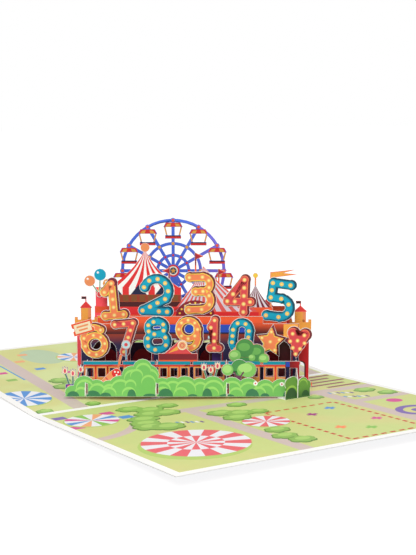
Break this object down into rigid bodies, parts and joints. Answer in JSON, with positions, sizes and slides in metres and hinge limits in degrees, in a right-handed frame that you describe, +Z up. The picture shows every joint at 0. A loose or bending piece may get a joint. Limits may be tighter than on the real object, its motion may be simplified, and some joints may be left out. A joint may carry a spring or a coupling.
{
  "type": "pop up card",
  "caption": "Opened greeting card with a die-cut funfair that stands on its fold: layers of printed card slotted on braces, in front of an observation wheel.",
  "frame": {"origin": "on the surface that the card rests on, under the middle of the fold", "axes": "+X along the fold, +Y towards the far half of the opened card, +Z up; the pop-up scene faces about 32 degrees left of -Y"},
  "size_m": [0.2, 0.2998, 0.0998],
  "materials": {
    "cover_card": "smooth printed card, green plan inside, blue outside",
    "brace_card": "uncoated white card",
    "hedge_card": "smooth printed card, greens",
    "flower_card": "smooth printed card, pink, cream and purple",
    "train_card": "smooth printed card, red cars and teal roofs",
    "station_card": "smooth printed card, orange red",
    "tent_card": "smooth printed card, red and white stripes",
    "castle_card": "smooth printed card, red walls and amber towers",
    "wheel_card": "smooth printed card, blue",
    "orange_card": "smooth printed card, orange",
    "red_card": "smooth printed card, red",
    "teal_card": "smooth printed card, teal"
  },
  "bodies": {
    "root": {"cover": "cover_card", "brace_1": "brace_card", "brace_2": "brace_card", "brace_3": "brace_card", "brace_4": "brace_card", "corner_bush": "hedge_card", "rear_corner_foot": "hedge_card", "hedge": "hedge_card", "garden_tree": "hedge_card", "left_tulips": "flower_card", "middle_tulips": "flower_card", "party_cone": "flower_card", "train": "train_card", "station": "station_card", "tents": "tent_card", "castle": "castle_card", "balloons": "flower_card", "wheel": "wheel_card", "ticket": "orange_card", "upper_numeral_1": "orange_card", "upper_numeral_2": "teal_card", "upper_numeral_3": "orange_card", "upper_numeral_4": "red_card", "upper_numeral_5": "teal_card", "lower_numeral_6": "orange_card", "lower_numeral_7": "red_card", "lower_numeral_8": "teal_card", "lower_numeral_9": "orange_card", "lower_numeral_1": "red_card", "lower_numeral_0": "teal_card", "lower_star": "orange_card", "lower_heart": "red_card"}
  },
  "joints": []
}
